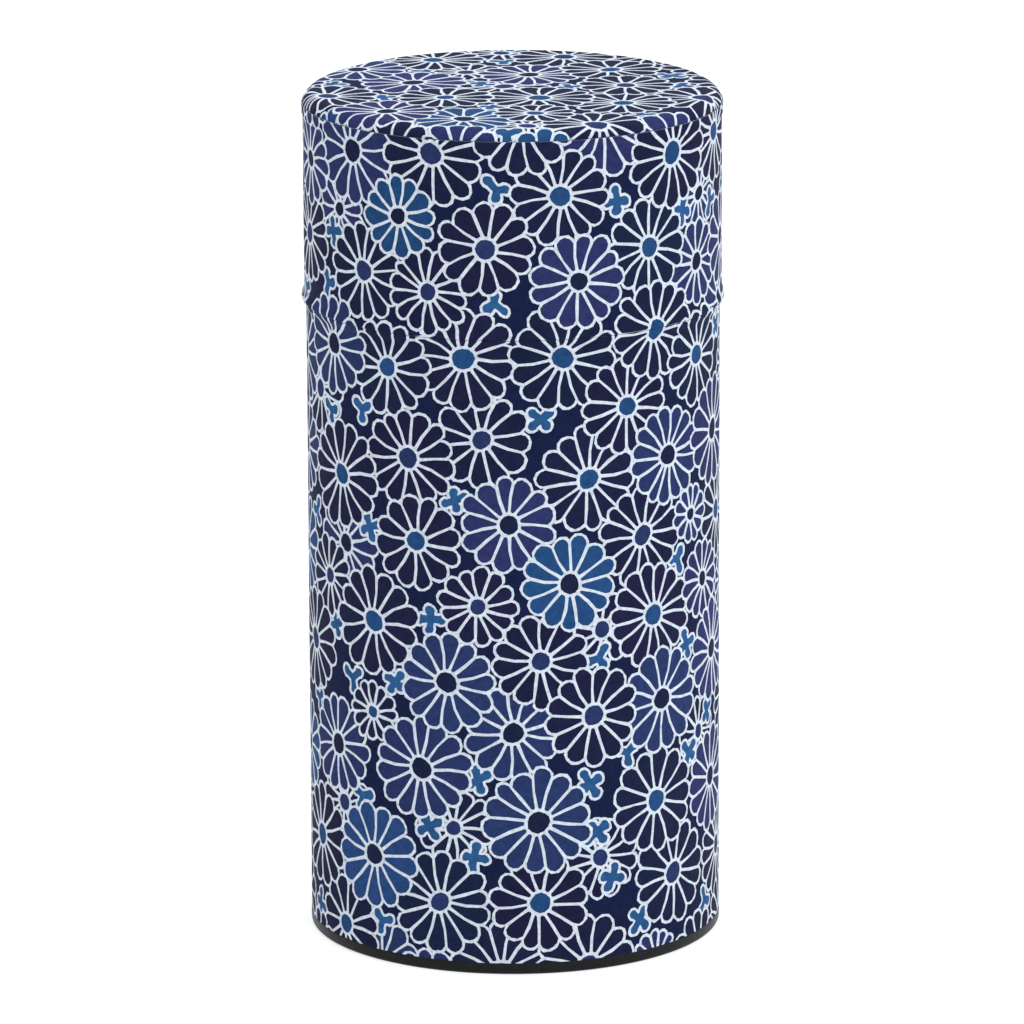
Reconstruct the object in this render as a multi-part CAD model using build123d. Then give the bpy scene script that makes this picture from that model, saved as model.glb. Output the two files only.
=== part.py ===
from build123d import *

import os
from math import pi

# A round tinplate caddy for tea or spices, covered in printed paper. A deep outer lid slides over a
# bare neck, and a shallow inner lid with a knob plugs the neck. Millimetres, +Z up. The origin is
# the centre of the circle that the caddy stands on.

# Driving dimensions
height = 159.5  # table to the top of the paper on the closed lid
body_radius = 38.5  # outside the body's paper
lid_radius = 38.85  # outside the lid's paper
body_top = 120.5  # where the body's cover ends and the lid's rim begins
neck_rise = 26.0  # how far the neck stands above the body's cover
tin = 0.28  # tinplate
paper = 0.22  # printed paper with its paste

# Body
shell_radius = body_radius - paper
shell_bore = shell_radius - tin
lock_seam_width = 4.0
lock_seam_depth = 0.55
lock_seam_bottom = 5.0
lock_seam_top = 90.0
shoulder_swell = 0.65  # how far the can swells out to meet the lid's rim
shoulder_bottom = body_top - 2.0
lap_width = 8.0  # where the paper's end lies over its start, at the back
lap_step = 0.15

# Base, seamed on to the shell
band_height = 2.2  # the lacquered edge that shows under the paper
band_radius = 38.53
band_inner_radius = 37.3
band_outer_round = 0.6
band_inner_round = 0.25
groove_bottom = 0.5  # the shell's lower edge, held in the seam
panel_lift = 3.2  # the base panel stands this far above the table
panel_bead_radii = (31.0, 25.0)
panel_bead_height = 0.5
panel_bead_foot = 1.6
panel_bead_crest = 0.9

# Neck
neck_top = body_top + neck_rise
neck_depth = 28.0  # how far the sleeve reaches down inside the shell
neck_curl_radius = 0.55

# Outer lid
rim_gap = 0.1
rim_bottom = body_top + rim_gap
lid_tin_radius = lid_radius - paper
lid_bore = lid_tin_radius - tin
flare = 0.5  # how far the lid's rim flares out
flare_bottom = rim_bottom + paper
flare_top = flare_bottom + 1.9
corner_radius = 2.5  # outside the paper, round the top edge
lid_top_skirt = 156.6  # where the lid's top meets its side
lid_plug_depth = 5.0
flap_rise = 5.2  # the paper turned in over the rim
top_flap_bottom = 155.4  # the top paper turned down over the corner
side_paper_top = 157.4
side_paper_joggle = 0.4

# Inner lid
seat_gap = 0.05
flange_radius = 37.4
flange_curl_radius = 0.4
plug_radius = 36.75
plug_depth = 11.0
plug_chamfer = 0.2
dish_radius = 32.4
dish_depth = 1.2
dish_slope = 0.8
flange_bottom = neck_top + seat_gap
dish_top = flange_bottom + tin - dish_depth

# Knob
rivet_radius = 1.25
rivet_head_radius = 3.0
rivet_head_height = 0.7
rivet_reach = 5.8  # of the shank inside the knob
washer_radius = 5.2
washer_thickness = 0.4
knob_bottom = dish_top + washer_thickness
knob_foot_radius = 4.6
knob_foot_height = 0.9
knob_waist_radius = 3.2
knob_waist_height = 2.9
knob_head_radius = 8.0
knob_head_height = 6.3
knob_height = 9.3


def turned(face):
    """The solid that a profile in radius and height sweeps round the axis."""
    return revolve(Plane.XZ * face, axis=Axis.Z)


def outline(*points):
    """A closed profile with straight sides."""
    return make_face(Polyline(*points, close=True))


def rounded(face, corner, radius):
    """The profile with one corner rounded."""
    nearest = min(face.vertices(), key=lambda v: (Vector(v) - Vector(*corner)).length)
    return fillet(nearest, radius)


def tube(inner, outer, bottom, top):
    """A plain tube on the axis."""
    return turned(outline((inner, bottom), (outer, bottom), (outer, top), (inner, top)))


def at_the_back(face, width):
    """The sweep of a profile through a width centred on the back."""
    angle = width / body_radius * 180 / pi
    sector = revolve(Plane.XZ * face, axis=Axis.Z, revolution_arc=angle)
    return Rot(0, 0, 90 - angle / 2) * sector


def eased(bottom, top):
    """A smooth curve up from one point to another, upright at both ends."""
    middle = ((bottom[0] + top[0]) / 2, (bottom[1] + top[1]) / 2)
    lower = TangentArc(bottom, middle, tangent=(0, 1))
    upper = TangentArc(top, middle, tangent=(0, -1))
    return [lower, upper]


def flared(radius):
    """The flare of the lid's wall at its rim, from the rim up to the straight wall."""
    return eased((radius + flare, flare_bottom), (radius, flare_top))


def swollen(inner, outer, bottom):
    """The profile of the can's wall between two radii, with the swell at its top."""
    edges = [
        Polyline((inner, shoulder_bottom), (inner, bottom), (outer, bottom), (outer, shoulder_bottom)),
        *eased((outer, shoulder_bottom), (outer + shoulder_swell, body_top)),
        Line((outer + shoulder_swell, body_top), (inner + shoulder_swell, body_top)),
        *eased((inner, shoulder_bottom), (inner + shoulder_swell, body_top)),
    ]
    return make_face(edges)


def body_shell():
    """The tube of the can, with the folded side seam standing inside it at the back."""
    wall = turned(swollen(shell_bore, shell_radius, groove_bottom))
    length = lock_seam_top - lock_seam_bottom
    middle = Pos(0, shell_bore - lock_seam_depth / 2 + tin / 4, lock_seam_bottom + length / 2)
    fold = Box(lock_seam_width, lock_seam_depth + tin / 2, length)
    return wall + middle * fold


def panel_line(level):
    """One face of the base panel, from the outside in, with its two stiffening beads."""
    line = []
    for middle in panel_bead_radii:
        line.append((middle + panel_bead_foot, level))
        line.append((middle + panel_bead_crest, level + panel_bead_height))
        line.append((middle - panel_bead_crest, level + panel_bead_height))
        line.append((middle - panel_bead_foot, level))
    return line + [(0, level)]


def base_end():
    """The lacquered base: a raised panel in a seamed ring. The seam's folds are drawn solid."""
    under_side = panel_line(panel_lift)
    upper_side = panel_line(panel_lift + tin)
    ring = [
        (band_inner_radius, panel_lift),
        (band_inner_radius, 0),
        (band_radius, 0),
        (band_radius, band_height),
        (shell_radius, band_height),
        (shell_radius, groove_bottom),
        (shell_bore, groove_bottom),
        (shell_bore, panel_lift + tin),
    ]
    face = outline(*reversed(under_side), *ring, *upper_side)
    face = rounded(face, (band_radius, 0), band_outer_round)
    return turned(rounded(face, (band_inner_radius, 0), band_inner_round))


def neck_sleeve():
    """The bare sleeve that the lid slides on, with its edge curled inwards."""
    bore = shell_bore - tin
    middle = neck_top - neck_curl_radius
    bottom = body_top - neck_depth
    wall = outline((bore, bottom), (shell_bore, bottom), (shell_bore, middle), (bore, middle))
    curl = Pos(shell_bore - neck_curl_radius, middle) * Circle(neck_curl_radius)
    return turned(wall + curl)


def body_paper():
    """The printed wrap round the can, lapped at the back."""
    wrap = turned(swollen(shell_radius, body_radius, band_height))
    lap = swollen(shell_radius, body_radius + lap_step, band_height)
    return wrap + at_the_back(lap, lap_width)


def lid_shell():
    """The tube of the outer lid, flared at its rim."""
    wall = Polyline(
        (lid_tin_radius, flare_top),
        (lid_tin_radius, lid_top_skirt),
        (lid_bore, lid_top_skirt),
        (lid_bore, flare_top),
    )
    edge = Line((lid_bore + flare, flare_bottom), (lid_tin_radius + flare, flare_bottom))
    return turned(make_face([*flared(lid_tin_radius), wall, *flared(lid_bore), edge]))


def lid_top():
    """The pressed top of the lid: a flat disc, a rounded edge and a skirt that plugs the tube."""
    top = height - paper
    inner = lid_bore - tin
    face = outline(
        (0, top),
        (lid_tin_radius, top),
        (lid_tin_radius, lid_top_skirt),
        (lid_bore, lid_top_skirt),
        (lid_bore, lid_top_skirt - lid_plug_depth),
        (inner, lid_top_skirt - lid_plug_depth),
        (inner, top - tin),
        (0, top - tin),
    )
    face = rounded(face, (lid_tin_radius, top), corner_radius - paper)
    return turned(rounded(face, (inner, top - tin), corner_radius - paper - tin))


def side_paper_profile(radius, foot):
    """A profile of the lid's side paper: out to a radius, closed below the flare through a foot."""
    joggle_bottom = top_flap_bottom - side_paper_joggle
    wall = Polyline(
        (radius, flare_top),
        (radius, joggle_bottom),
        (radius + paper, top_flap_bottom),
        (radius + paper, side_paper_top),
        (lid_radius, side_paper_top),
        (lid_radius, top_flap_bottom),
        (lid_tin_radius, joggle_bottom),
        (lid_tin_radius, flare_top),
    )
    rim = Polyline((lid_tin_radius + flare, flare_bottom), *foot, (radius + flare, flare_bottom))
    return make_face([*flared(radius), wall, *flared(lid_tin_radius), rim])


def lid_side_paper():
    """The printed wrap round the lid: turned in over the rim, and lapped over the top paper."""
    inner_flap = lid_bore - paper
    outer_rim = lid_radius + flare
    turned_in = [
        (lid_bore, flare_bottom),
        (lid_bore, rim_bottom + flap_rise),
        (inner_flap, rim_bottom + flap_rise),
        (inner_flap, rim_bottom),
        (outer_rim, rim_bottom),
    ]
    face = side_paper_profile(lid_radius, turned_in)
    face = rounded(face, (inner_flap, rim_bottom), paper / 2)
    face = rounded(face, (outer_rim, rim_bottom), paper / 2)
    return turned(face) + at_the_back(side_paper_profile(lid_radius + lap_step, []), lap_width)


def lid_top_paper():
    """The printed disc on the lid, drawn down over its rounded edge."""
    top = height - paper
    face = outline(
        (0, height),
        (lid_radius, height),
        (lid_radius, top_flap_bottom),
        (lid_tin_radius, top_flap_bottom),
        (lid_tin_radius, top),
        (0, top),
    )
    face = rounded(face, (lid_radius, height), corner_radius)
    return turned(rounded(face, (lid_tin_radius, top), corner_radius - paper))


def inner_lid_cap():
    """The plug lid: a dished disc with a curled flange, and a skirt that fits the neck."""
    skirt_bottom = flange_bottom - plug_depth
    skirt_inner = plug_radius - tin
    dish_under = dish_top - tin
    face = outline(
        (rivet_radius, dish_top),
        (dish_radius, dish_top),
        (dish_radius + dish_slope, flange_bottom + tin),
        (flange_radius, flange_bottom + tin),
        (flange_radius, flange_bottom),
        (plug_radius, flange_bottom),
        (plug_radius, skirt_bottom + plug_chamfer),
        (plug_radius - plug_chamfer, skirt_bottom),
        (skirt_inner, skirt_bottom),
        (skirt_inner, flange_bottom),
        (dish_radius + dish_slope + tin, flange_bottom),
        (dish_radius + tin, dish_under),
        (rivet_radius, dish_under),
    )
    curl = Pos(flange_radius, flange_bottom + flange_curl_radius) * Circle(flange_curl_radius)
    return turned(face + curl)


def knob_washer():
    """The thin washer that spreads the knob's pull over the dished disc."""
    return tube(rivet_radius, washer_radius, dish_top, knob_bottom)


def inner_lid_knob():
    """The mushroom knob, bored from below for its rivet."""
    head_edge = knob_bottom + knob_head_height
    top = knob_bottom + knob_height
    waist = knob_bottom + knob_waist_height
    edges = [
        Polyline(
            (rivet_radius, knob_bottom + rivet_reach),
            (rivet_radius, knob_bottom),
            (knob_foot_radius, knob_bottom),
            (knob_foot_radius, knob_bottom + knob_foot_height),
        ),
        ThreePointArc(
            (knob_foot_radius, knob_bottom + knob_foot_height),
            (knob_waist_radius, waist),
            (knob_head_radius - 1, head_edge - 1),
        ),
        ThreePointArc(
            (knob_head_radius - 1, head_edge - 1),
            (knob_head_radius, head_edge),
            (knob_head_radius - 1, head_edge + 1),
        ),
        TangentArc((0, top), (knob_head_radius - 1, head_edge + 1), tangent=(1, 0)),
        Polyline(
            (0, top),
            (0, knob_bottom + rivet_reach),
            (rivet_radius, knob_bottom + rivet_reach),
        ),
    ]
    return turned(make_face(edges))


def knob_rivet():
    """The rivet through the inner lid, washer and knob, with a low round head under the disc."""
    seat = dish_top - tin
    shank_top = knob_bottom + rivet_reach
    edges = [
        Polyline(
            (0, seat - rivet_head_height),
            (0, shank_top),
            (rivet_radius, shank_top),
            (rivet_radius, seat),
            (rivet_head_radius, seat),
        ),
        TangentArc((0, seat - rivet_head_height), (rivet_head_radius, seat), tangent=(1, 0)),
    ]
    return turned(make_face(edges))


nodes = {
    "body_shell": body_shell,
    "base_end": base_end,
    "neck_sleeve": neck_sleeve,
    "body_paper": body_paper,
    "lid_shell": lid_shell,
    "lid_top": lid_top,
    "lid_side_paper": lid_side_paper,
    "lid_top_paper": lid_top_paper,
    "inner_lid_cap": inner_lid_cap,
    "knob_washer": knob_washer,
    "inner_lid_knob": inner_lid_knob,
    "knob_rivet": knob_rivet,
}

os.makedirs("parts", exist_ok=True)
for name, make in nodes.items():
    export_step(make(), f"parts/{name}.step")
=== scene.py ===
from functools import cache
from math import acos, asin, atan2, cos, degrees, hypot, pi, radians, sin, sqrt, tan, tau
from random import Random

import bpy
import numpy as np
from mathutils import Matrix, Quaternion, Vector
from mathutils.geometry import delaunay_2d_cdt


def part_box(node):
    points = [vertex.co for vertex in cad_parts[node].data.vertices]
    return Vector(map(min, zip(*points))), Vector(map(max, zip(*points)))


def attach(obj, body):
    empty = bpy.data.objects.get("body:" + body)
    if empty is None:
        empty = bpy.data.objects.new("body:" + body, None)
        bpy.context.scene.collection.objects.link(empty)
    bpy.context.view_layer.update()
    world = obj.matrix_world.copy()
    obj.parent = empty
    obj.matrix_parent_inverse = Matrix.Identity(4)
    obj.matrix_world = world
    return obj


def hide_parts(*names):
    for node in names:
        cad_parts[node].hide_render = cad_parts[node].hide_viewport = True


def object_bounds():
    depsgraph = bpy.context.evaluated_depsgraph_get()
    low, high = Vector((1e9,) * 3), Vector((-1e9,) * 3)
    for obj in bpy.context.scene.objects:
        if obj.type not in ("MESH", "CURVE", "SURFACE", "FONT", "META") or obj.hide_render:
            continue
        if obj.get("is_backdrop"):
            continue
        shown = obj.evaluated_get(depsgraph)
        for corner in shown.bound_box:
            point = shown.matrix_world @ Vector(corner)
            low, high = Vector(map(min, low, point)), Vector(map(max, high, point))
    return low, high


# A round tinplate caddy covered in printed paper, on a white floor. The sheets of paper are drawn
# flat, cut into coloured fields and raised lines, and then wrapped round the tin. The metal pieces
# are turned from profiles. Lengths are millimetres here, and metres once a mesh is made.

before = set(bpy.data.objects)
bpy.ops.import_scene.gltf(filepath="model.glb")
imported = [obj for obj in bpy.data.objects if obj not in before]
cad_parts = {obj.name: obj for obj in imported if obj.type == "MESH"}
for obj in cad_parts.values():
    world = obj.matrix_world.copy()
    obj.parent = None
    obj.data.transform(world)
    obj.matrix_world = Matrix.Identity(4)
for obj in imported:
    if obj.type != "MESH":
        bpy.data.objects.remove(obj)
cad_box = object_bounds()
MM = 0.001


def reach(node):
    """The outer radius, the bottom and the top of a CAD node."""
    low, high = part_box(node)
    return high.x / MM, low.z / MM, high.z / MM


# The can and the lid, from the frame
shoulder_radius, band_top, body_top = reach("body_paper")
shell_bottom = reach("body_shell")[1]
neck_radius, neck_bottom, neck_top = reach("neck_sleeve")
band_radius, _, base_top = reach("base_end")
lid_tin_radius = reach("lid_top")[0]
lid_radius, top_flap_bottom, height = reach("lid_top_paper")
rim_radius, rim_bottom, side_paper_top = reach("lid_side_paper")
plug_skirt_bottom = reach("lid_top")[1]
lid_top_skirt = reach("lid_shell")[2]
flange_outer, inner_skirt_bottom, _ = reach("inner_lid_cap")
washer_radius, dish_top, knob_bottom = reach("knob_washer")
knob_radius, _, knob_top = reach("inner_lid_knob")
rivet_head_radius, rivet_bottom, rivet_top = reach("knob_rivet")

# Thicknesses and small features
paper = lid_radius - lid_tin_radius
tin = 0.28
shell_radius = neck_radius + tin
body_radius = shell_radius + paper
swell = shoulder_radius - body_radius  # of the can, where it meets the lid
shoulder_bottom = body_top - 2.0
lid_bore = lid_tin_radius - tin
flare = rim_radius - lid_radius
flare_bottom = rim_bottom + paper
flare_top = flare_bottom + 1.9
corner_radius = 2.5
joggle = 0.4  # of the side paper, up and over the top paper's edge
flap_rise = 5.2  # of the paper turned in over the rim
fold_radius = paper / 2
lap_width = 8.0  # of a wrap's end over its start, at the back
lap_step = 0.15
lap_ramp = 1.0
bead_height = 0.5  # of the two beads pressed up into the base panel
bead_half_width = 1.6
bead_radii = (25.0, 31.0)
shank_radius = 1.25  # of the rivet through the knob
ink_height = 0.05  # the lines stand proud of the fields by this much
fold_step = 3.6  # degrees between the lines that let a sheet bend

# The print
line_width = 0.52
half_line = line_width / 2
SEED = 7


def srgb(red, green, blue):
    """A linear colour from three numbers out of 255."""
    channels = []
    for part in (red / 255, green / 255, blue / 255):
        channels.append(part / 12.92 if part <= 0.04045 else ((part + 0.055) / 1.055) ** 2.4)
    return tuple(channels)


NAVY = srgb(24, 31, 58)
INDIGO = srgb(38, 49, 91)
BLUE = srgb(32, 67, 111)
TEAL = srgb(39, 80, 126)
GROUND = srgb(21, 29, 60)
BARE_PAPER = srgb(150, 152, 160)

KINDS = {
    "night": (NAVY, BLUE),  # petals, centre
    "dusk": (NAVY, INDIGO),
    "indigo": (INDIGO, NAVY),
    "blue": (BLUE, NAVY),
}
MIXTURE = ("night",) * 5 + ("dusk",) * 5 + ("indigo",) * 7 + ("blue",)
HIDDEN_MIXTURE = ("dusk", "dusk", "indigo")


# ---------------------------------------------------------------- the design


def tinted(colour, amount):
    """A colour made lighter by an amount above 1, and darker below it."""
    return tuple(channel * amount for channel in colour)


def warmed(colour, amount):
    """A blue nearer to violet for an amount above 1, and nearer to green below it."""
    red, green, blue = colour
    return red * amount, green / sqrt(amount), blue


def wobble(x, y):
    """Where the unsteady hand that drew the design puts a point."""
    dx = 0.16 * sin(0.83 * y + 1.7 * sin(0.31 * x)) + 0.05 * sin(3.1 * y + 2.0 * x)
    dy = 0.16 * sin(0.79 * x + 1.9 * sin(0.29 * y)) + 0.05 * sin(2.7 * x - 2.3 * y)
    return x + dx, y + dy


class Flower:
    """A round flower of teardrop petals about a disc, outlined in one line."""

    def __init__(self, x, y, radius, kind, rng):
        self.x, self.y, self.radius = x, y, radius
        petals = round(9.8 + 0.4 * radius) + rng.choice((-1, 0, 0, 1))
        self.disc = radius * 0.2 + rng.uniform(-0.1, 0.1)
        step = tau / petals
        turn = rng.uniform(0, tau)
        self.spokes = [turn + (k + rng.uniform(-0.1, 0.1)) * step for k in range(petals)]
        self.reaches = [radius * rng.uniform(0.95, 1.03) for _ in range(petals)]
        petal_colour, disc_colour = KINDS[kind]
        shade = rng.uniform(0.92, 1.08)
        self.disc_colour = tinted(disc_colour, shade)
        shades = [shade * rng.uniform(0.96, 1.04) for _ in range(petals)]
        # A source of its own, so that a rougher line doesn't move the other flowers
        self.roughness = Random(rng.random())
        warmth = self.roughness.uniform(0.9, 1.25)
        self.colours = []
        for petal_shade in shades:
            colour = tinted(petal_colour, petal_shade)
            self.colours.append(warmed(colour, warmth * self.roughness.uniform(0.94, 1.06)))

    def petals(self):
        """For each petal: its number, the angle of its middle, half its span, and the distance
        and the radius of its round end."""
        for k, reach_out in enumerate(self.reaches):
            start = self.spokes[k]
            end = self.spokes[(k + 1) % len(self.spokes)]
            if end < start:
                end += tau
            half_span = (end - start) / 2
            fullness = sin(half_span) * 1.05
            end_radius = reach_out * fullness / (1 + fullness)
            yield k, (start + end) / 2, half_span, reach_out - end_radius, end_radius

    def at(self, along, across, angle, rough=0.0):
        """A point given from the flower's centre along and across a petal's direction."""
        x = self.x + along * cos(angle) - across * sin(angle)
        y = self.y + along * sin(angle) + across * cos(angle)
        x, y = wobble(x, y)
        return x + self.roughness.uniform(-rough, rough), y + self.roughness.uniform(-rough, rough)

    def fields(self):
        """The coloured areas, which meet under the middles of the lines."""
        shapes = []
        inner = self.disc + half_line
        for k, middle, half_span, distance, end_radius in self.petals():
            notch = notch_angle(distance, end_radius, half_span)
            points = [self.at(inner * cos(half_span), -inner * sin(half_span), middle)]
            for step in range(5):
                angle = notch * (step / 2 - 1)
                along = distance + end_radius * cos(angle)
                points.append(self.at(along, end_radius * sin(angle), middle))
            points.append(self.at(inner * cos(half_span), inner * sin(half_span), middle))
            shapes.append((points, self.colours[k]))
        disc = [self.at(inner, 0, tau * step / 12) for step in range(12)]
        shapes.append((disc, self.disc_colour))
        return shapes

    def lines(self):
        """The whole flower in ink, past the petals' ends, with the petals and disc as holes."""
        ink = []
        holes = []
        for _, middle, half_span, distance, end_radius in self.petals():
            outer = end_radius + half_line
            notch = notch_angle(distance, outer, half_span)
            for step in range(5):
                angle = notch * (step / 2 - 1)
                rough = 0.03 if 0 < step < 4 else 0.0
                along = distance + outer * cos(angle)
                ink.append(self.at(along, outer * sin(angle), middle, rough))
            hole = self.petal_hole(middle, half_span, distance, end_radius - half_line)
            holes.append((hole, False))
        disc = [self.at(self.disc, 0, tau * step / 12, 0.03) for step in range(12)]
        return [(ink, True)] + holes + [(disc, False)]

    def petal_hole(self, middle, half_span, distance, end_radius):
        """The inside of a petal's line: a round end, two nearly straight sides and a blunt tip."""
        side = distance * sin(half_span) - half_line
        swing = half_span + pi / 2 - acos(min(1, side / end_radius))
        tip = self.disc + line_width
        tip_half = max(tip * sin(half_span) - half_line, 0.12)
        shoulder = distance + end_radius * cos(swing)
        shoulder_half = end_radius * sin(swing)
        points = []
        for step in range(6):
            angle = swing * (step / 2.5 - 1)
            across = end_radius * sin(angle)
            points.append(self.at(distance + end_radius * cos(angle), across, middle, 0.03))
        along = (shoulder + tip) / 2
        side_half = (shoulder_half + tip_half) / 2
        points.append(self.at(along, side_half, middle, 0.05))
        points.append(self.at(tip + 0.1, tip_half, middle))
        points.append(self.at(tip - 0.06, 0, middle))
        points.append(self.at(tip + 0.1, -tip_half, middle))
        points.append(self.at(along, -side_half, middle, 0.05))
        return points


def notch_angle(distance, radius, half_span):
    """The angle, about a petal's round end, at which it meets the line between two petals."""
    foot = distance * cos(half_span)
    along_spoke = foot + sqrt(max(0, foot * foot - distance * distance + radius * radius))
    across = along_spoke * sin(half_span)
    turn = asin(min(1, across / radius))
    return turn if along_spoke * cos(half_span) > distance else pi - turn


class Sprig:
    """A small blob of three or four round arms, which fills a gap between flowers."""

    radius = 3.1  # about as far as its arms reach

    def __init__(self, x, y, rng):
        self.x, self.y = x, y
        count = rng.choice((3, 4, 4))
        turn = rng.uniform(0, tau)
        self.arms = []
        for k in range(count):
            angle = turn + tau * (k + rng.uniform(-0.12, 0.12)) / count
            self.arms.append((angle, rng.uniform(1.4, 2.2), rng.uniform(1.1, 1.25)))
        self.colour = tinted(TEAL, rng.uniform(0.92, 1.1))

    def blob(self, margin):
        """The outlines of the arms, each a stem with a round end, grown by a margin."""
        outlines = []
        for angle, length, end_radius in self.arms:
            end = end_radius + margin
            stem = 0.95 + margin
            points = [(-0.4, stem), (-0.4, -stem)]
            for step in range(9):
                swing = radians(125) * (step / 4 - 1)
                points.append((length + end * cos(swing), end * sin(swing)))
            outlines.append([self.at(angle, along, across) for along, across in points])
        return outlines

    def at(self, angle, along, across):
        """A point given from the sprig's centre along and across an arm's direction."""
        x = self.x + along * cos(angle) - across * sin(angle)
        return wobble(x, self.y + along * sin(angle) + across * cos(angle))

    def fields(self):
        """The coloured areas."""
        return [(outline, self.colour) for outline in self.blob(0)]

    def lines(self):
        """The sprig in ink, grown by half a line, and shrunk by half a line as holes."""
        ink = [(outline, True) for outline in self.blob(half_line)]
        return ink + [(outline, False) for outline in self.blob(-half_line)]


def spread(inside, low, high, rng):
    """Flowers strewn over a sheet, large ones first, with sprigs and more flowers in the gaps."""
    flowers = []

    def spot():
        """A place anywhere in the rectangle."""
        return rng.uniform(low[0], high[0]), rng.uniform(low[1], high[1])

    def crowded(x, y, radius, share):
        """True if a flower here would overlap another by more than the share lets it."""
        for other in flowers:
            if hypot(x - other.x, y - other.y) < share * (radius + other.radius):
                return True
        return False

    def clearance(x, y, others):
        """How far a place is outside the nearest of the others."""
        return min(hypot(x - other.x, y - other.y) - other.radius for other in others)

    def strew(smallest, largest, share, tries):
        """Flowers of a range of sizes, wherever a try finds room for one."""
        for _ in range(tries):
            x, y = spot()
            radius = rng.uniform(smallest, largest)
            if inside(x, y) and not crowded(x, y, radius, share):
                flowers.append(Flower(x, y, radius, rng.choice(MIXTURE), rng))

    strew(9.0, 10.4, 0.76, 4000)
    strew(7.6, 9.0, 0.77, 4000)
    strew(5.4, 6.8, 0.86, 5000)
    sprigs = []
    for _ in range(9000):
        x, y = spot()
        if inside(x, y) and clearance(x, y, flowers) > 1.0:
            if not sprigs or clearance(x, y, sprigs) > 2 * Sprig.radius:
                sprigs.append(Sprig(x, y, rng))
    under = []
    for _ in range(9000):
        x, y = spot()
        if inside(x, y) and clearance(x, y, flowers + sprigs) > 1.6:
            if not under or clearance(x, y, under) > 0:
                under.append(Flower(x, y, rng.uniform(6.5, 9.0), rng.choice(HIDDEN_MIXTURE), rng))
    rng.shuffle(flowers)
    return under + sprigs + flowers


# ---------------------------------------------------------------- sheets of paper


class Wrap:
    """A sheet rolled round the axis: x runs round it from the front, y runs up its profile."""

    def __init__(self, profile, foot, cut_under_lap):
        """profile: points in radius and height from the bottom up. foot: the first point's y."""
        self.profile = np.array(profile)
        steps = np.linalg.norm(np.diff(self.profile, axis=0), axis=1)
        self.ys = foot + np.concatenate(([0], np.cumsum(steps)))
        self.end = pi * body_radius + lap_width / 2
        covered = self.end - lap_width
        bottom, top = self.ys[0], self.ys[-1]
        self.outline = [(-self.end, bottom), (self.end, bottom), (self.end, top), (-self.end, top)]
        if cut_under_lap is not None:
            edge = covered - lap_ramp / 2
            self.outline[1:2] = [(edge, bottom), (edge, cut_under_lap), (self.end, cut_under_lap)]
        step = radians(fold_step) * body_radius
        count = int(self.end / step)
        self.folds = [((k * step, bottom), (k * step, top)) for k in range(-count, count + 1)]
        for x in (covered - lap_ramp, covered - lap_ramp / 2, covered):
            self.folds.append(((x, bottom), (x, top)))
        self.folds += [((-self.end, y), (self.end, y)) for y in self.ys[1:-1]]

    def place(self, flat, lift):
        """The wrapped places of flat points, in metres, and their normals."""
        x, y = flat[:, 0], flat[:, 1]
        ramp = np.clip((x - self.end + lap_width + lap_ramp) / lap_ramp, 0, 1)
        ramp = ramp * ramp * (3 - 2 * ramp)
        radius = np.interp(y, self.ys, self.profile[:, 0])
        z = np.interp(y, self.ys, self.profile[:, 1])
        out_r, out_z = self.profile_normals(y)
        # The lap lies on the sheet's start, pressed to the thickness of a step
        squeezed = lift * (1 - ramp * (1 - lap_step / paper)) + ramp * lap_step
        radius = radius + squeezed * out_r
        z = z + squeezed * out_z
        angle = x / body_radius
        places = np.stack([radius * np.sin(angle), -radius * np.cos(angle), z], 1) * MM
        normals = np.stack([out_r * np.sin(angle), -out_r * np.cos(angle), out_z], 1)
        return places, normals

    def profile_normals(self, y):
        """The normal of the profile, smooth over its bends."""
        tangent = np.diff(self.profile, axis=0)
        tangent /= np.linalg.norm(tangent, axis=1)[:, None]
        corner = np.concatenate((tangent[:1], tangent[:-1] + tangent[1:], tangent[-1:]))
        corner /= np.linalg.norm(corner, axis=1)[:, None]
        along_r = np.interp(y, self.ys, corner[:, 0])
        along_z = np.interp(y, self.ys, corner[:, 1])
        length = np.hypot(along_r, along_z)
        return along_z / length, -along_r / length

    def shows(self, flat):
        """Where the sheet's print can be seen: not under its own lap."""
        return flat[:, 0] > -self.end + lap_width - 0.3


class Disc:
    """A round sheet drawn down over an edge: x and y are measured over the paper."""

    def __init__(self, flat_radius, flap):
        self.flat_radius = flat_radius
        self.bend = corner_radius * pi / 2
        self.rim = flat_radius + self.bend + flap
        count = int(360 / fold_step)
        ring = [(cos(tau * k / count), sin(tau * k / count)) for k in range(count)]
        self.outline = [(self.rim * x, self.rim * y) for x, y in ring]
        self.folds = []
        for x, y in ring:
            self.folds.append(((flat_radius * x, flat_radius * y), (self.rim * x, self.rim * y)))
        bends = [flat_radius + self.bend * k / 8 for k in range(9)]
        for radius in [6, 14, 22, 30] + bends:
            for k, (x, y) in enumerate(ring):
                next_x, next_y = ring[(k + 1) % count]
                self.folds.append(((radius * x, radius * y), (radius * next_x, radius * next_y)))

    def place(self, flat, lift):
        """The drawn-down places of flat points, in metres, and their normals."""
        out = np.hypot(flat[:, 0], flat[:, 1])
        direction = flat / np.maximum(out, 1e-9)[:, None]
        turn = np.clip((out - self.flat_radius) / corner_radius, 0, pi / 2)
        below = np.maximum(out - self.flat_radius - self.bend, 0)
        radius = np.minimum(out, self.flat_radius) + (corner_radius + lift) * np.sin(turn)
        z = height - corner_radius + (corner_radius + lift) * np.cos(turn) - below
        places = np.column_stack([radius[:, None] * direction, z]) * MM
        normals = np.column_stack([np.sin(turn)[:, None] * direction, np.cos(turn)])
        return places, normals

    def shows(self, flat):
        """Where the sheet's print can be seen: not under the side paper's edge."""
        return np.hypot(flat[:, 0], flat[:, 1]) < self.flat_radius + self.bend - 0.4


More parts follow.
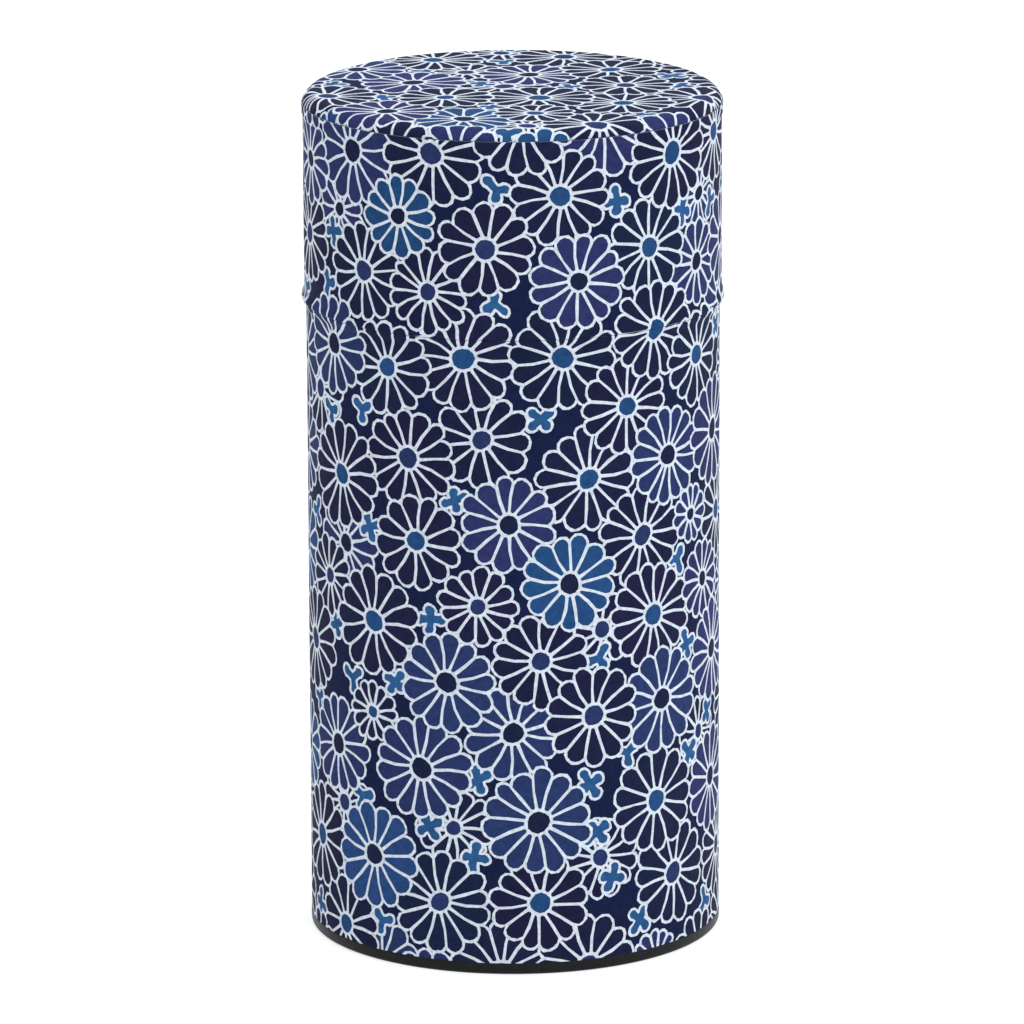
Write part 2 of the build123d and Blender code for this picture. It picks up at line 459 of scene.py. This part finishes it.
def cut(sheet, shapes):
    """The sheet in triangles, with the number of the topmost shape over each, or -1."""
    points = [Vector(p) for p in sheet.outline]
    faces = [list(range(len(points)))]
    edges = []
    for start, end in sheet.folds:
        edges.append((len(points), len(points) + 1))
        points += [Vector(start), Vector(end)]
    for outline, _ in shapes:
        faces.append(list(range(len(points), len(points) + len(outline))))
        points += [Vector(p) for p in outline]
    flat, _, triangles, _, _, origins = delaunay_2d_cdt(points, edges, faces, 0, 1e-5, True)
    kept = [k for k, origin in enumerate(origins) if 0 in origin]
    topmost = np.array([max(origins[k]) - 1 for k in kept])
    return np.array(flat), np.array([triangles[k] for k in kept]), topmost


def slab(name, sheet, flat, triangles, top, bottom):
    """A closed mesh of some of a sheet's triangles, from one lift above the surface to another.

    Its faces are the triangles of the top, those of the bottom, and then the walls."""
    used, triangles = np.unique(triangles, return_inverse=True)
    triangles = triangles.reshape(-1, 3)
    flat = flat[used]
    upper, upper_normals = sheet.place(flat, top)
    lower, lower_normals = sheet.place(flat, bottom)
    count = len(flat)
    sides = np.concatenate([triangles[:, [0, 1]], triangles[:, [1, 2]], triangles[:, [2, 0]]])
    keys = sides[:, 0] * count + sides[:, 1]
    border = sides[~np.isin(keys, sides[:, 1] * count + sides[:, 0])]
    start, end = border[:, 0], border[:, 1]
    walls = np.stack([start + count, end + count, end, start], 1)
    faces = triangles.tolist() + (triangles[:, ::-1] + count).tolist() + walls.tolist()
    mesh = bpy.data.meshes.new(name)
    mesh.from_pydata(np.concatenate([upper, lower]).tolist(), [], faces)
    mesh.polygons.foreach_set("use_smooth", [True] * (2 * len(triangles)) + [False] * len(walls))
    normals = np.zeros((len(mesh.loops), 3))
    corners = 3 * len(triangles)
    normals[:corners] = upper_normals[triangles.ravel()]
    normals[corners : 2 * corners] = -lower_normals[triangles[:, ::-1].ravel()]
    mesh.normals_split_custom_set(normals.tolist())
    return mesh


def shown(name, mesh, materials, body, slot, *nodes):
    """A piece of the object made of a mesh, in place of CAD nodes."""
    piece = bpy.data.objects.new(name, mesh)
    bpy.context.scene.collection.objects.link(piece)
    for material in materials:
        mesh.materials.append(material)
    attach(piece, body)
    if nodes:
        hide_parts(*nodes)


def printed_sheet(name, sheet, design, body, node):
    """A sheet of paper with the design's coloured fields, and its raised lines."""
    near = [thing for thing in design if touches(sheet, thing)]
    fields = [field for thing in near for field in thing.fields()]
    coloured_sheet(name, sheet, fields, body, node)
    lines = [line for thing in near for line in thing.lines()]
    raised_lines(name + "_lines", sheet, lines, body)


def coloured_sheet(name, sheet, fields, body, node):
    """The paper itself, with a colour at each corner of its printed face."""
    flat, triangles, topmost = cut(sheet, fields)
    mesh = slab(name, sheet, flat, triangles, -ink_height, -paper)
    colours = np.array([colour for _, colour in fields] + [GROUND])
    painted = np.repeat(colours[topmost], 3, axis=0)
    corners = np.ones((len(mesh.loops), 4))
    corners[:, :3] = BARE_PAPER
    corners[: len(painted), :3] = painted
    ink = mesh.color_attributes.new("ink", "FLOAT_COLOR", "CORNER")
    ink.data.foreach_set("color", corners.ravel())
    shown(name, mesh, [printed_paper(), bare_paper()], body, "printed_paper", node)
    slots = np.ones(len(mesh.polygons), int)
    slots[: len(triangles)] = 0
    mesh.polygons.foreach_set("material_index", slots)


def raised_lines(name, sheet, lines, body):
    """The ink of the lines, in one closed mesh that stands on the paper."""
    flat, triangles, topmost = cut(sheet, lines)
    inked = np.array([is_ink for _, is_ink in lines] + [False])[topmost]
    inked &= sheet.shows(flat[triangles].mean(axis=1))
    mesh = slab(name, sheet, flat, triangles[inked], 0, -ink_height - 0.02)
    shown(name, mesh, [silver_ink()], body, "printed_paper")


def touches(sheet, thing):
    """True if a flower or sprig reaches into the sheet."""
    xs, ys = zip(*sheet.outline)
    room = thing.radius + 1
    across = min(xs) - room < thing.x < max(xs) + room
    return across and min(ys) - room < thing.y < max(ys) + room


def arc(centre_r, centre_z, radius, start, end, steps):
    """Points of a circle in radius and height. Angles in degrees from outwards, up."""
    points = []
    for k in range(steps + 1):
        angle = radians(start + (end - start) * k / steps)
        points.append((centre_r + radius * cos(angle), centre_z + radius * sin(angle)))
    return points


def eased(bottom, top):
    """Points up a smooth curve of two arcs, upright where it starts and where it ends."""
    across, up = (top[0] - bottom[0]) / 2, (top[1] - bottom[1]) / 2
    curve = (across**2 + up**2) / (2 * across)
    offsets = []
    for k in range(4):
        rise = up * k / 3
        offsets.append((curve * (1 - sqrt(1 - (rise / curve) ** 2)), rise))
    lower = [(bottom[0] + x, bottom[1] + z) for x, z in offsets]
    return lower + [(top[0] - x, top[1] - z) for x, z in offsets[-2::-1]]


def flared(radius):
    """The flare of the lid's wall at its rim, from the rim up to the straight wall."""
    return eased((radius + flare, flare_bottom), (radius, flare_top))


def swollen(radius):
    """The swell at the top of the can's wall."""
    return eased((radius, shoulder_bottom), (radius + swell, body_top))


def side_paper_profile():
    """The printed side of the lid's paper, from the turned-in edge, round the rim, to the top."""
    flap = lid_bore - paper
    fold_top = rim_bottom + fold_radius
    joint = lid_radius + paper
    joggle_bottom = top_flap_bottom - joggle
    return (
        [(flap, rim_bottom + flap_rise), (flap, rim_bottom + 2)]
        + arc(flap + fold_radius, fold_top, fold_radius, 180, 270, 3)
        + arc(rim_radius - fold_radius, fold_top, fold_radius, 270, 360, 3)
        + flared(lid_radius)
        + [(lid_radius, joggle_bottom - 0.5), (lid_radius, joggle_bottom)]
        + [(joint, top_flap_bottom), (joint, top_flap_bottom + 0.5), (joint, side_paper_top)]
    )


def papers():
    """The three printed papers."""
    rng = Random(SEED)
    side = [(body_radius, band_top), (body_radius, shoulder_bottom - 0.5)]
    body_wrap = Wrap(side + swollen(body_radius), band_top, None)
    joint = body_wrap.ys[-1]
    turned_in = flap_rise + rim_radius - lid_bore + paper
    lid_wrap = Wrap(side_paper_profile(), joint - turned_in, joint + paper)
    low = (-lid_wrap.end - 8, band_top - 8)
    high = (lid_wrap.end + 8, lid_wrap.ys[-1] + 8)
    wrap_design = spread(lambda x, y: True, low, high, rng)
    printed_sheet("body_paper_sheet", body_wrap, wrap_design, "can", "body_paper")
    printed_sheet("lid_side_paper_sheet", lid_wrap, wrap_design, "outer_lid", "lid_side_paper")
    flat_radius = lid_radius - corner_radius
    disc = Disc(flat_radius, height - corner_radius - top_flap_bottom)
    edge = disc.rim + 6
    disc_design = spread(lambda x, y: hypot(x, y) < edge, (-edge, -edge), (edge, edge), rng)
    printed_sheet("lid_top_paper_sheet", disc, disc_design, "outer_lid", "lid_top_paper")


# ---------------------------------------------------------------- turned metal


def through(first, second, third, steps=8):
    """Points of the arc from the first point, through the second, to the third."""
    (ax, ay), (bx, by), (cx, cy) = first, second, third
    bx, by, cx, cy = bx - ax, by - ay, cx - ax, cy - ay
    twice = 2 * (bx * cy - by * cx)
    x = (cy * (bx * bx + by * by) - by * (cx * cx + cy * cy)) / twice
    y = (bx * (cx * cx + cy * cy) - cx * (bx * bx + by * by)) / twice
    start = degrees(atan2(-y, -x))
    middle = (degrees(atan2(by - y, bx - x)) - start) % 360
    end = (degrees(atan2(cy - y, cx - x)) - start) % 360
    if middle > end:
        end -= 360
    return arc(ax + x, ay + y, hypot(x, y), start, start + end, steps)


def softened(corners, steps=5):
    """A line with its corners rounded: each corner is a radius, a height and maybe a rounding."""
    line = []
    for k, corner in enumerate(corners):
        here = Vector(corner[:2])
        if len(corner) < 3:
            line.append(tuple(here))
            continue
        back = (Vector(corners[k - 1][:2]) - here).normalized()
        ahead = (Vector(corners[(k + 1) % len(corners)][:2]) - here).normalized()
        half = back.angle(ahead) / 2
        centre = here + (back + ahead).normalized() * (corner[2] / sin(half))
        start = here + back * (corner[2] / tan(half))
        end = here + ahead * (corner[2] / tan(half))
        middle = centre + (here - centre).normalized() * corner[2]
        line += through(tuple(start), tuple(middle), tuple(end), steps)
    return line


def lathe(name, profile, closed=True, segments=192):
    """The mesh that a profile, given with its solid on the left, sweeps round the axis."""
    verts, rings = [], []
    for radius, z in profile:
        if radius < 1e-6:
            rings.append([len(verts)] * segments)
            verts.append((0, 0, z * MM))
            continue
        rings.append(list(range(len(verts), len(verts) + segments)))
        for k in range(segments):
            angle = tau * k / segments
            verts.append((radius * cos(angle) * MM, radius * sin(angle) * MM, z * MM))
    faces = []
    following = rings[1:] + rings[:1] if closed else rings[1:]
    for ring, after in zip(rings, following):
        for k in range(segments):
            m = (k + 1) % segments
            face = [ring[k], ring[m], after[m], after[k]]
            faces.append(list(dict.fromkeys(face)))
    mesh = bpy.data.meshes.new(name)
    mesh.from_pydata(verts, [], faces)
    mesh.shade_smooth()
    mesh.set_sharp_from_angle(angle=radians(38))
    return mesh


def panel_face(level):
    """One face of the base panel, from the axis out, with its two pressed beads."""
    line = [(0, level)]
    for middle in bead_radii:
        for k in range(-6, 7):
            rise = (0.5 + 0.5 * cos(pi * k / 6)) * bead_height
            line.append((middle + bead_half_width * k / 6, level + rise))
    return line


def base():
    """The base: a beaded panel, lacquered underneath, in a rolled ring."""
    recess = 37.3
    above = base_top - bead_height
    under = above - tin
    ring = softened(
        [
            (recess - 0.7, under),
            (recess, under, 0.5),
            (recess, 0, 0.25),
            (band_radius, 0, 0.6),
            (band_radius, band_top, 0.18),
            (shell_radius, band_top),
            (shell_radius, shell_bottom),
            (neck_radius, shell_bottom),
            (neck_radius, above, 0.2),
            (recess - 0.4, above),
        ]
    )
    line = panel_face(under) + ring + panel_face(above)[::-1]
    mesh = lathe("base_ring", line, closed=False)
    shown("base_ring", mesh, [black_lacquer(), dull_tin()], "can", "black_lacquer", "base_end")
    inside = (above - tin / 2) * MM
    for face in mesh.polygons:
        face.material_index = int(face.normal.z > 0.5 and face.center.z > inside)


def can_tube():
    """The tube of the can, with its folded seam inside it at the back."""
    tube = [(neck_radius, shell_bottom), (shell_radius, shell_bottom)]
    tube += swollen(shell_radius) + swollen(neck_radius)[::-1]
    shown("can_tube", lathe("can_tube", tube), [dull_tin()], "can", "tinplate", "body_shell")
    shown("can_seam", lock_seam(), [dull_tin()], "can", "tinplate")


def neck():
    """The bare sleeve that the lid slides on, with its edge curled inwards."""
    curl = 0.55
    bore = neck_radius - tin
    centre = neck_radius - curl
    meeting = 360 - degrees(acos((bore - centre) / curl))
    sleeve = [(bore, neck_bottom), (neck_radius, neck_bottom)]
    sleeve += arc(centre, neck_top - curl, curl, 0, meeting, 20)
    mesh = lathe("neck", sleeve)
    shown("neck", mesh, [bright_tin(), dull_tin()], "can", "bright_tinplate", "neck_sleeve")
    for face in mesh.polygons:
        face.material_index = int(face.center.xy.length < (bore + 0.02) * MM)


def lock_seam():
    """The folded seam that closes the can's tube, a flat rounded rib down the inside."""
    half_width, depth, bottom, top = 2.0, 0.55, 5.0, 90.0
    section = [(-half_width, -0.1), (-half_width, depth * 0.6)]
    section += [(-half_width + 0.1, depth * 0.9), (-half_width + 0.25, depth)]
    section += [(-x, y) for x, y in section[::-1]]
    levels = [(bottom, 0.1), (bottom + 0.4, 0.8), (bottom + 1, 1)]
    levels += [(top - 1, 1), (top - 0.4, 0.8), (top, 0.1)]
    verts = []
    for z, share in levels:
        for across, inward in section:
            radius = neck_radius - inward * (share if inward > 0 else 1)
            angle = pi / 2 - across / neck_radius
            verts.append((radius * cos(angle) * MM, radius * sin(angle) * MM, z * MM))
    width = len(section)
    faces = []
    for level in range(len(levels) - 1):
        for k in range(width):
            m = (k + 1) % width
            low, high = level * width, (level + 1) * width
            faces.append((low + k, high + k, high + m, low + m))
    faces.append(tuple(range(width)))
    faces.append(tuple(range(len(verts) - 1, len(verts) - 1 - width, -1)))
    mesh = bpy.data.meshes.new("can_seam")
    mesh.from_pydata(verts, [], faces)
    mesh.shade_smooth()
    mesh.set_sharp_from_angle(angle=radians(50))
    return mesh


def lid_tube():
    """The tube under the lid's side paper, with its flared rim."""
    tube = flared(lid_tin_radius) + [(lid_tin_radius, lid_top_skirt), (lid_bore, lid_top_skirt)]
    tube += flared(lid_bore)[::-1]
    shown("lid_tube", lathe("lid_tube", tube), [dull_tin()], "outer_lid", "tinplate", "lid_shell")


def lid_pressing():
    """The lid's pressed top, with the skirt that plugs the tube."""
    top = height - paper
    inner = lid_bore - tin
    pressed = softened(
        [
            (0, top - tin),
            (inner, top - tin, corner_radius - paper - tin),
            (inner, plug_skirt_bottom, 0.08),
            (lid_bore, plug_skirt_bottom, 0.08),
            (lid_bore, lid_top_skirt),
            (lid_tin_radius, lid_top_skirt),
            (lid_tin_radius, top, corner_radius - paper),
            (0, top),
        ],
        8,
    )
    mesh = lathe("lid_pressing", pressed, closed=False)
    shown("lid_pressing", mesh, [dull_tin()], "outer_lid", "tinplate", "lid_top")


def plug_lid():
    """The plug lid: a dished disc with a rolled flange, and a skirt that fits the neck."""
    flange = neck_top + 0.05
    curl = 0.4
    curl_centre = flange_outer - curl
    skirt = 36.75
    dish = 32.4
    slope = 0.8
    meeting = 180 + degrees(asin((curl - tin) / curl))
    under = softened(
        [
            (shank_radius, dish_top - tin),
            (dish + tin, dish_top - tin, 0.35),
            (dish + slope + tin, flange, 0.7),
            (skirt - tin, flange, 0.3),
            (skirt - tin, inner_skirt_bottom),
            (skirt - 0.2, inner_skirt_bottom, 0.05),
            (skirt, inner_skirt_bottom + 0.2, 0.1),
            (skirt, flange, 0.03),
            (curl_centre, flange),
        ]
    )
    rolled = arc(curl_centre, flange + curl, curl, -80, meeting, 18)
    upper = softened(
        [
            (curl_centre - 1, flange + tin),
            (dish + slope, flange + tin, 0.7),
            (dish, dish_top, 0.6),
            (shank_radius, dish_top),
        ]
    )
    mesh = lathe("plug_lid", under + rolled + upper)
    shown("plug_lid", mesh, [pressed_tin()], "inner_lid", "bright_tinplate", "inner_lid_cap")


def washer():
    """The thin washer between the plug lid and its knob."""
    profile = softened(
        [
            (shank_radius, dish_top),
            (washer_radius, dish_top, 0.08),
            (washer_radius, knob_bottom, 0.15),
            (shank_radius, knob_bottom),
        ]
    )
    mesh = lathe("washer", profile)
    shown("washer", mesh, [pressed_tin()], "inner_lid", "bright_tinplate", "knob_washer")


def rivet():
    """The rivet that holds the knob, with its low round head under the disc."""
    seat = dish_top - tin
    head = rivet_head_radius
    sag = seat - rivet_bottom
    curve = (head * head + sag * sag) / (2 * sag)
    low = degrees(asin(head / curve))
    profile = arc(0, rivet_bottom + curve, curve, -90, -90 + low, 8)
    profile += [(shank_radius, seat), (shank_radius, rivet_top), (0, rivet_top)]
    mesh = lathe("rivet", profile, closed=False, segments=64)
    shown("rivet", mesh, [knob_metal()], "inner_lid", "knob_metal", "knob_rivet")


def knob():
    """The knob, bored for its rivet, with a flared foot, a waist and a domed head."""
    foot, foot_top = 4.6, knob_bottom + 0.9
    waist, waist_height = 3.2, knob_bottom + 2.9
    head_edge = knob_bottom + 6.3
    line = [(0, rivet_top), (shank_radius, rivet_top), (shank_radius, knob_bottom)]
    flare_out = [(2, knob_bottom), (foot, knob_bottom, 0.15), (foot, foot_top, 0.25), (3, foot_top)]
    line += softened(flare_out)[1:-1]
    under_head = (knob_radius - 1, head_edge - 1)
    over_head = (knob_radius - 1, head_edge + 1)
    line += through((foot - 0.3, foot_top), (waist, waist_height), under_head, 14)
    line += through(under_head, (knob_radius, head_edge), over_head, 10)[1:]
    rise = knob_top - head_edge - 1
    dome = ((knob_radius - 1) ** 2 + rise**2) / (2 * rise)
    edge = degrees(acos((knob_radius - 1) / dome))
    line += arc(0, knob_top - dome, dome, edge, 90, 12)[1:]
    mesh = lathe("knob", line, closed=False)
    shown("knob", mesh, [knob_metal()], "inner_lid", "knob_metal", "inner_lid_knob")


# ---------------------------------------------------------------- materials


class Look:
    """A node material under construction."""

    def __init__(self, name):
        self.material = bpy.data.materials.new(name)
        self.material.use_nodes = True
        self.tree = self.material.node_tree
        self.shader = self.tree.nodes["Principled BSDF"]

    def node(self, kind, **settings):
        """A new shader node of a kind, with these settings."""
        made = self.tree.nodes.new("ShaderNode" + kind)
        for key, value in settings.items():
            setattr(made, key, value)
        return made

    def link(self, source, target):
        """An output joined to an input."""
        self.tree.links.new(source, target)

    def place(self, stretch=(1, 1, 1)):
        """The object's own coordinates in millimetres, stretched along the axes."""
        coordinates = self.node("TexCoord")
        mapping = self.node("Mapping")
        mapping.inputs["Scale"].default_value = [1000 * s for s in stretch]
        self.link(coordinates.outputs["Object"], mapping.inputs["Vector"])
        return mapping.outputs["Vector"]

    def noise(self, scale, detail=2.0, stretch=(1, 1, 1), roughness=0.5):
        """Noise with this many features to a millimetre."""
        made = self.node("TexNoise")
        made.inputs["Scale"].default_value = scale
        made.inputs["Detail"].default_value = detail
        made.inputs["Roughness"].default_value = roughness
        self.link(self.place(stretch), made.inputs["Vector"])
        return made.outputs["Fac"]

    def span(self, value, low, high, start=0.0, end=1.0):
        """A value between start and end, spread from low to high."""
        made = self.node("MapRange")
        made.inputs["From Min"].default_value = start
        made.inputs["From Max"].default_value = end
        made.inputs["To Min"].default_value = low
        made.inputs["To Max"].default_value = high
        self.link(value, made.inputs["Value"])
        return made.outputs["Result"]

    def calculate(self, operation, first, second):
        """A sum, a product or the like of two values. Each is a number or an output."""
        made = self.node("Math", operation=operation)
        for value, socket in ((first, made.inputs[0]), (second, made.inputs[1])):
            if isinstance(value, (int, float)):
                socket.default_value = value
            else:
                self.link(value, socket)
        return made.outputs[0]

    def mix(self, amount, first, second, blend="MIX"):
        """Two colours mixed. Each is a colour or an output."""
        made = self.node("Mix", data_type="RGBA", blend_type=blend)
        sockets = made.inputs[0], made.inputs[6], made.inputs[7]
        for value, socket in zip((amount, first, second), sockets):
            if isinstance(value, tuple):
                socket.default_value = (*value, 1)
            elif isinstance(value, (int, float)):
                socket.default_value = value
            else:
                self.link(value, socket)
        return made.outputs[2]

    def bump(self, value, distance, below=None):
        """A bump of this many millimetres, over another bump if there is one."""
        made = self.node("Bump")
        made.inputs["Strength"].default_value = 1.0
        made.inputs["Distance"].default_value = distance * MM
        self.link(value, made.inputs["Height"])
        if below is not None:
            self.link(below, made.inputs["Normal"])
        return made.outputs["Normal"]

    def finish(self, colour, roughness, normal, shine=0.5, metal=0.0, glow=0.0):
        """The material, with these on its Principled shader."""
        inputs = self.shader.inputs
        self.link(colour, inputs["Base Color"])
        self.link(normal, inputs["Normal"])
        if isinstance(roughness, float):
            inputs["Roughness"].default_value = roughness
        else:
            self.link(roughness, inputs["Roughness"])
        inputs["Specular IOR Level"].default_value = shine
        inputs["Metallic"].default_value = metal
        inputs["Emission Color"].default_value = (1, 1, 1, 1)
        inputs["Emission Strength"].default_value = glow
        return self.material


@cache
def printed_paper():
    """Dyed mulberry paper: soft fibres, faint mottling, a slightly uneven matt face."""
    look = Look("printed_paper")
    ink = look.node("Attribute", attribute_name="ink").outputs["Color"]
    mottled = look.span(look.noise(0.9, 4), 0.8, 1.22, 0.25, 0.75)
    speckled = look.span(look.noise(4.5, 2), 0.88, 1.14, 0.25, 0.75)
    shade = look.calculate("MULTIPLY", mottled, speckled)
    colour = look.mix(1.0, ink, shade, "MULTIPLY")
    fibres = look.noise(2.2, 5, (1, 1, 3.2), 0.65)
    waves = look.noise(0.09, 1)
    normal = look.bump(waves, 0.12)
    normal = look.bump(fibres, 0.02, normal)
    roughness = look.span(fibres, 0.5, 0.68, 0.3, 0.7)
    return look.finish(colour, roughness, normal, shine=0.02)


@cache
def silver_ink():
    """The pale raised ink of the lines, a little pearly and unevenly laid."""
    look = Look("silver_ink")
    patchy = look.noise(1.3, 4)
    colour = look.mix(look.span(patchy, 0, 1, 0.3, 0.7), srgb(178, 188, 201), srgb(209, 219, 231))
    grain = look.noise(5, 3)
    normal = look.bump(grain, 0.012)
    roughness = look.span(grain, 0.42, 0.6, 0.3, 0.7)
    return look.finish(colour, roughness, normal, shine=0.15)


@cache
def bare_paper():
    """The cut edge and the back of the paper."""
    look = Look("bare_paper")
    fibres = look.noise(6, 4)
    colour = look.mix(look.span(fibres, 0, 1, 0.3, 0.7), srgb(92, 96, 116), srgb(150, 154, 166))
    return look.finish(colour, 0.85, look.bump(fibres, 0.02))


def tinplate(name, colour, darker, stretch, polish, metal):
    """Rolled tinplate: fine grain along the sheet, faintly clouded tin, a few scratches."""
    look = Look(name)
    grain = look.noise(7, 3, stretch, 0.6)
    clouds = look.noise(0.25, 4)
    tone = look.mix(look.span(clouds, 0, 1, 0.3, 0.7), darker, colour)
    tone = look.mix(look.span(grain, 0.0, 0.3, 0.45, 0.7), tone, darker)
    scratches = look.noise(2.6, 2, tuple(9 * s for s in stretch), 0.4)
    marks = look.span(scratches, 0, 1, 0.66, 0.7)
    rough = look.span(grain, polish, polish + 0.1, 0.3, 0.7)
    rough = look.calculate("ADD", rough, look.span(clouds, 0, 0.04, 0.3, 0.7))
    rough = look.calculate("ADD", rough, look.calculate("MULTIPLY", marks, 0.15))
    normal = look.bump(grain, 0.004)
    normal = look.bump(marks, 0.003, normal)
    return look.finish(tone, rough, normal, metal=metal)


@cache
def dull_tin():
    """The inside of the can and the lid, grey and almost matt."""
    tin_colour, shadow = srgb(216, 217, 218), srgb(200, 202, 205)
    return tinplate("dull_tin", tin_colour, shadow, (1, 1, 0.03), 0.42, 0.35)


@cache
def bright_tin():
    """The neck, scuffed round by the lid."""
    tin_colour, shadow = srgb(184, 186, 190), srgb(168, 171, 175)
    return tinplate("bright_tin", tin_colour, shadow, (0.05, 0.05, 1.4), 0.24, 1.0)


@cache
def pressed_tin():
    """The inner lid, bright from the press."""
    tin_colour, shadow = srgb(188, 190, 193), srgb(173, 176, 180)
    return tinplate("pressed_tin", tin_colour, shadow, (0.04, 1.2, 1), 0.22, 1.0)


@cache
def knob_metal():
    """Turned and polished metal, with the tool's fine rings left in it."""
    look = Look("knob_metal")
    position = look.node("SeparateXYZ")
    look.link(look.place(), position.inputs["Vector"])
    x, y, z = position.outputs
    x_squared = look.calculate("MULTIPLY", x, x)
    y_squared = look.calculate("MULTIPLY", y, y)
    squares = look.calculate("ADD", x_squared, y_squared)
    ring_place = look.node("CombineXYZ")
    look.link(look.calculate("SQRT", squares, 0), ring_place.inputs["X"])
    look.link(z, ring_place.inputs["Z"])
    rings = look.node("TexNoise")
    rings.inputs["Scale"].default_value = 5.0
    rings.inputs["Detail"].default_value = 3.0
    look.link(ring_place.outputs["Vector"], rings.inputs["Vector"])
    turned = rings.outputs["Fac"]
    smudges = look.noise(0.5, 3)
    clean = look.span(smudges, 0, 1, 0.35, 0.65)
    colour = look.mix(clean, srgb(208, 209, 210), srgb(224, 225, 226))
    rough = look.span(turned, 0.14, 0.26, 0.3, 0.7)
    rough = look.calculate("ADD", rough, look.span(smudges, 0, 0.1, 0.4, 0.7))
    return look.finish(colour, rough, look.bump(turned, 0.006), metal=1.0)


@cache
def black_lacquer():
    """Satin black lacquer with a little orange peel, rubbed thin where the ring meets the table."""
    look = Look("black_lacquer")
    peel = look.noise(1.1, 3)
    dust = look.noise(3.5, 4)
    position = look.node("SeparateXYZ")
    look.link(look.place(), position.inputs["Vector"])
    low = look.span(position.outputs["Z"], 1, 0, 0.02, 0.2)
    worn = look.calculate("MULTIPLY", low, look.span(dust, 0, 1, 0.5, 0.62))
    black = look.mix(look.span(peel, 0, 1, 0.3, 0.7), srgb(17, 18, 20), srgb(26, 27, 30))
    colour = look.mix(worn, black, srgb(84, 85, 88))
    rough = look.span(dust, 0.3, 0.46, 0.3, 0.7)
    return look.finish(colour, rough, look.bump(peel, 0.01), shine=0.12)


@cache
def floor_look():
    """The pale floor. A faint glow of its own keeps it as white as the world round it."""
    look = Look("floor")
    cloudy = look.noise(0.01, 3)
    colour = look.mix(cloudy, srgb(180, 180, 180), srgb(186, 186, 186))
    return look.finish(colour, 0.9, look.bump(look.noise(0.8, 3), 0.01), glow=0.6)


# ---------------------------------------------------------------- the studio


def studio():
    """A white floor under soft light, a little stronger from the right."""
    bpy.ops.mesh.primitive_grid_add(x_subdivisions=8, y_subdivisions=8, size=24)
    floor = bpy.context.object
    floor.name = "floor"
    floor.data.materials.append(floor_look())
    floor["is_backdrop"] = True

    world = bpy.data.worlds.new("studio")
    bpy.context.scene.world = world
    world.use_nodes = True
    tree = world.node_tree
    direction = tree.nodes.new("ShaderNodeTexCoord").outputs["Generated"]
    slope = tree.nodes.new("ShaderNodeVectorMath")
    slope.operation = "DOT_PRODUCT"
    slope.inputs[1].default_value = (0.3, -0.1, 0.25)  # brighter to the right, the front and above
    tree.links.new(direction, slope.inputs[0])
    brightness = tree.nodes.new("ShaderNodeMath")
    brightness.operation = "ADD"
    brightness.inputs[1].default_value = 0.85
    tree.links.new(slope.outputs["Value"], brightness.inputs[0])
    tree.links.new(brightness.outputs[0], tree.nodes["Background"].inputs["Strength"])
    tree.nodes["Background"].inputs["Color"].default_value = (1, 1, 1, 1)

    panel("key", (1.9, -0.8, 1.1), 1.2, 6)
    panel("top", (0, 0.2, 2.2), 1.8, 24)


def panel(name, place, size, watts):
    """A square soft light that faces the middle of the caddy."""
    light = bpy.data.lights.new(name, "AREA")
    light.shape = "SQUARE"
    light.size = size
    light.energy = watts
    lamp = bpy.data.objects.new(name, light)
    bpy.context.scene.collection.objects.link(lamp)
    lamp.location = place
    towards = Vector((0, 0, height * MM / 2)) - lamp.location
    lamp.rotation_mode = "QUATERNION"
    lamp.rotation_quaternion = towards.to_track_quat("-Z", "Y")


def camera():
    """A long lens from a little above, straight in front."""
    distance = 1.6464
    elevation = radians(14.226)
    roll = radians(-0.227)
    target = Vector((-0.00034, 0, 0.07863))
    lens = bpy.data.cameras.new("camera")
    lens.lens = 309.25
    lens.sensor_width = 36
    lens.clip_start, lens.clip_end = 0.05, 50
    seen = bpy.data.objects.new("camera", lens)
    bpy.context.scene.collection.objects.link(seen)
    seen.location = target + distance * Vector((0, -cos(elevation), sin(elevation)))
    seen.rotation_mode = "QUATERNION"
    aim = (target - seen.location).to_track_quat("-Z", "Y")
    seen.rotation_quaternion = aim @ Quaternion((0, 0, 1), roll)
    bpy.context.scene.camera = seen


bpy.context.scene.view_settings.view_transform = "Standard"
papers()
base()
can_tube()
neck()
lid_tube()
lid_pressing()
plug_lid()
washer()
knob()
rivet()
studio()
camera()

boxes = {"cad": cad_box, "visual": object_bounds()}
{key: [list(corner) for corner in box] for key, box in boxes.items()}
